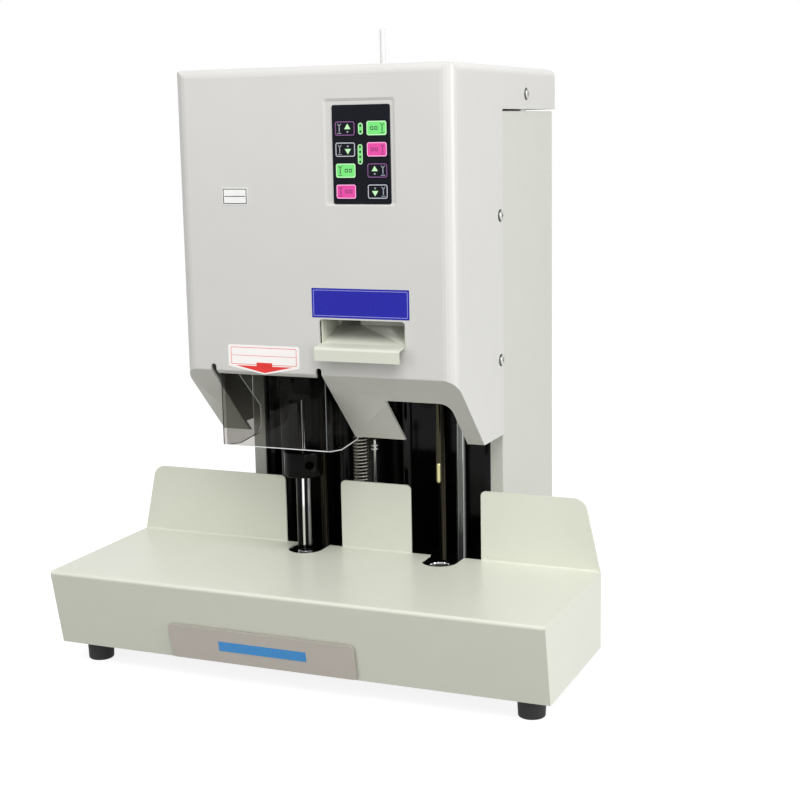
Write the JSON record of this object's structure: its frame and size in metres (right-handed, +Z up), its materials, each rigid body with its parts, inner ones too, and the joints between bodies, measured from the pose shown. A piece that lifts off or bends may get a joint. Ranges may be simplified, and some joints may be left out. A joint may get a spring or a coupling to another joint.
{
  "type": "document riveting machine",
  "caption": "Bench machine that drills stacked papers and rivets them with nylon tube, with a paper tray, smoked guard, key panel, delivery scoop and scrap drawer.",
  "frame": {"origin": "centre of the footprint on the floor, under the middle of the overall box", "axes": "+X to the user's right, +Y from the front to the back, +Z up"},
  "size_m": [0.51, 0.392, 0.619],
  "materials": {
    "tray_paint": "semi-matt off-white powder coat",
    "base_paint": "matt dark grey paint",
    "foot_rubber": "matt black moulded rubber",
    "drawer_paint": "semi-matt warm grey powder coat",
    "cabinet_paint": "semi-matt off-white powder coat",
    "head_paint": "fine-grained light grey powder coat",
    "zinc_screws": "bright zinc-plated steel",
    "black_screws": "black oxide steel",
    "cast_frame": "black-painted casting",
    "bed_steel": "black oxide plate",
    "black_rods": "polished black oxide steel",
    "chrome_rods": "hard chrome",
    "alloy": "milled aluminium",
    "bronze": "bearing bronze",
    "screw_steel": "rolled thread, bright steel",
    "motor_black": "black motor can",
    "tip_chrome": "polished hard chrome",
    "collar_steel": "heat-tinted steel",
    "die_steel": "ground tool steel",
    "spring_steel": "bright spring wire",
    "drill_steel": "ground high-speed steel with a gold coated end",
    "belt_rubber": "matt black rubber",
    "pad_plastic": "white cutting pad",
    "nylon": "translucent white nylon",
    "scoop_paint": "semi-matt off-white powder coat",
    "smoked_clear": "smoked clear plastic",
    "membrane": "black polyester membrane",
    "board_green": "green circuit board",
    "key_dark": "black key with a printed outline",
    "key_green": "green printed key",
    "key_magenta": "magenta printed key",
    "supply_metal": "folded bright sheet",
    "inlet_plastic": "black moulded plastic"
  },
  "bodies": {
    "machine": {"paper_tray": "tray_paint", "base_frame": "base_paint", "rubber_feet": "foot_rubber", "rear_cabinet": "cabinet_paint", "back_panel": "cabinet_paint", "panel_screws": "zinc_screws", "head_cover": "head_paint", "cover_screws": "zinc_screws", "main_frame": "cast_frame", "bed_plate": "bed_steel", "top_plate": "bed_steel", "frame_bolts": "black_screws", "press_guide_rods": "black_rods", "press_feed_motor": "motor_black", "lower_die": "die_steel", "return_spring": "spring_steel", "spring_rod": "chrome_rods", "stop_rod": "screw_steel", "drill_guide_rods": "chrome_rods", "drill_feed_motor": "motor_black", "pad_motor": "motor_black", "tube_feeder": "alloy", "tube_guide": "pad_plastic", "tube_chute": "scoop_paint", "guard_hinge": "black_screws", "keypad_panel": "membrane", "key_board": "board_green", "control_board": "board_green", "power_supply": "supply_metal", "mains_inlet": "inlet_plastic"},
    "drawer": {"scrap_drawer": "drawer_paint"},
    "press_head": {"press_carriage": "alloy", "press_bearings": "bronze", "press_ram": "tip_chrome", "heater_collar": "collar_steel"},
    "press_screw": {"press_feed_screw": "screw_steel"},
    "drill_head": {"drill_carriage": "alloy", "drill_bearings": "bronze", "spindle_housing": "alloy", "drill_motor": "motor_black", "drive_belt": "belt_rubber"},
    "drill_screw": {"drill_feed_screw": "screw_steel"},
    "spindle": {"drill_spindle": "die_steel", "hollow_drill": "drill_steel"},
    "drill_motor_pulley": {"motor_pulley": "die_steel"},
    "pad": {"pad_cup": "alloy", "cutting_pad": "pad_plastic"},
    "driven_roller": {"drive_roller": "die_steel"},
    "pressing_roller": {"pinch_roller": "die_steel"},
    "tube": {"nylon_tube": "nylon"},
    "guard_flap": {"guard": "smoked_clear"},
    "rocker": {"power_rocker": "inlet_plastic"},
    "key_1_cap": {"key_1": "key_dark"},
    "key_2_cap": {"key_2": "key_green"},
    "key_3_cap": {"key_3": "key_dark"},
    "key_4_cap": {"key_4": "key_magenta"},
    "key_5_cap": {"key_5": "key_green"},
    "key_6_cap": {"key_6": "key_dark"},
    "key_7_cap": {"key_7": "key_magenta"},
    "key_8_cap": {"key_8": "key_dark"}
  },
  "joints": [
    {"name": "drawer_slide", "type": "slide", "parent": "machine", "child": "drawer", "axis": [0, -1, 0], "range_m": [0, 0.11]},
    {"name": "guard_swing", "type": "hinge", "parent": "machine", "child": "guard_flap", "pos_m": [-0.0535, -0.095, 0.306], "axis": [-1, 0, 0], "range_deg": [0, 30]},
    {"name": "press_slide", "type": "slide", "parent": "machine", "child": "press_head", "axis": [0, 0, 1], "range_m": [0, 0.078], "deforming": ["return_spring"]},
    {"name": "press_screw_spin", "type": "hinge", "parent": "machine", "child": "press_screw", "pos_m": [-0.062, 0.03, 0.3], "axis": [0, 0, -1], "range_deg": [-10, 3530]},
    {"name": "drill_slide", "type": "slide", "parent": "machine", "child": "drill_head", "axis": [0, 0, -1], "range_m": [0, 0.0845]},
    {"name": "drill_screw_spin", "type": "hinge", "parent": "machine", "child": "drill_screw", "pos_m": [0.073, 0.03, 0.3], "axis": [0, 0, 1], "range_deg": [-10, 3820]},
    {"name": "spindle_spin", "type": "hinge", "parent": "drill_head", "child": "spindle", "pos_m": [0.096, -0.038, 0.34], "axis": [0, 0, 1], "continuous": true},
    {"name": "motor_pulley_spin", "type": "hinge", "parent": "drill_head", "child": "drill_motor_pulley", "pos_m": [0.066, -0.014, 0.4], "axis": [0, 0, 1], "continuous": true},
    {"name": "pad_spin", "type": "hinge", "parent": "machine", "child": "pad", "pos_m": [0.096, -0.038, 0.09], "axis": [0, 0, 1], "continuous": true},
    {"name": "tube_slide", "type": "slide", "parent": "machine", "child": "tube", "axis": [0, 0, -1], "range_m": [0, 0.03]},
    {"name": "drive_roller_spin", "type": "hinge", "parent": "machine", "child": "driven_roller", "pos_m": [0.02, 0.03105, 0.448], "axis": [1, 0, 0], "range_deg": [-5, 222]},
    {"name": "pinch_roller_spin", "type": "hinge", "parent": "machine", "child": "pressing_roller", "pos_m": [0.02, 0.00895, 0.448], "axis": [1, 0, 0], "range_deg": [-222, 5]},
    {"name": "key_1_press", "type": "slide", "parent": "machine", "child": "key_1_cap", "axis": [0, 1, 0], "range_m": [0, 0.0007], "stiffness_N_per_m": 800, "springref_m": -0.0004},
    {"name": "key_2_press", "type": "slide", "parent": "machine", "child": "key_2_cap", "axis": [0, 1, 0], "range_m": [0, 0.0007], "stiffness_N_per_m": 800, "springref_m": -0.0004},
    {"name": "key_3_press", "type": "slide", "parent": "machine", "child": "key_3_cap", "axis": [0, 1, 0], "range_m": [0, 0.0007], "stiffness_N_per_m": 800, "springref_m": -0.0004},
    {"name": "key_4_press", "type": "slide", "parent": "machine", "child": "key_4_cap", "axis": [0, 1, 0], "range_m": [0, 0.0007], "stiffness_N_per_m": 800, "springref_m": -0.0004},
    {"name": "key_5_press", "type": "slide", "parent": "machine", "child": "key_5_cap", "axis": [0, 1, 0], "range_m": [0, 0.0007], "stiffness_N_per_m": 800, "springref_m": -0.0004},
    {"name": "key_6_press", "type": "slide", "parent": "machine", "child": "key_6_cap", "axis": [0, 1, 0], "range_m": [0, 0.0007], "stiffness_N_per_m": 800, "springref_m": -0.0004},
    {"name": "key_7_press", "type": "slide", "parent": "machine", "child": "key_7_cap", "axis": [0, 1, 0], "range_m": [0, 0.0007], "stiffness_N_per_m": 800, "springref_m": -0.0004},
    {"name": "key_8_press", "type": "slide", "parent": "machine", "child": "key_8_cap", "axis": [0, 1, 0], "range_m": [0, 0.0007], "stiffness_N_per_m": 800, "springref_m": -0.0004},
    {"name": "rocker_tilt", "type": "hinge", "parent": "machine", "child": "rocker", "pos_m": [-0.096, 0.1895, 0.106], "axis": [1, 0, 0], "range_deg": [0, 16]}
  ],
  "couplings": [
    {"joint": "press_screw_spin", "follows": "press_slide", "rad_per_m": 785.4},
    {"joint": "drill_screw_spin", "follows": "drill_slide", "rad_per_m": 785.4},
    {"joint": "motor_pulley_spin", "follows": "spindle_spin", "ratio": 1},
    {"joint": "drive_roller_spin", "follows": "tube_slide", "rad_per_m": 125},
    {"joint": "pinch_roller_spin", "follows": "tube_slide", "rad_per_m": -125}
  ]
}
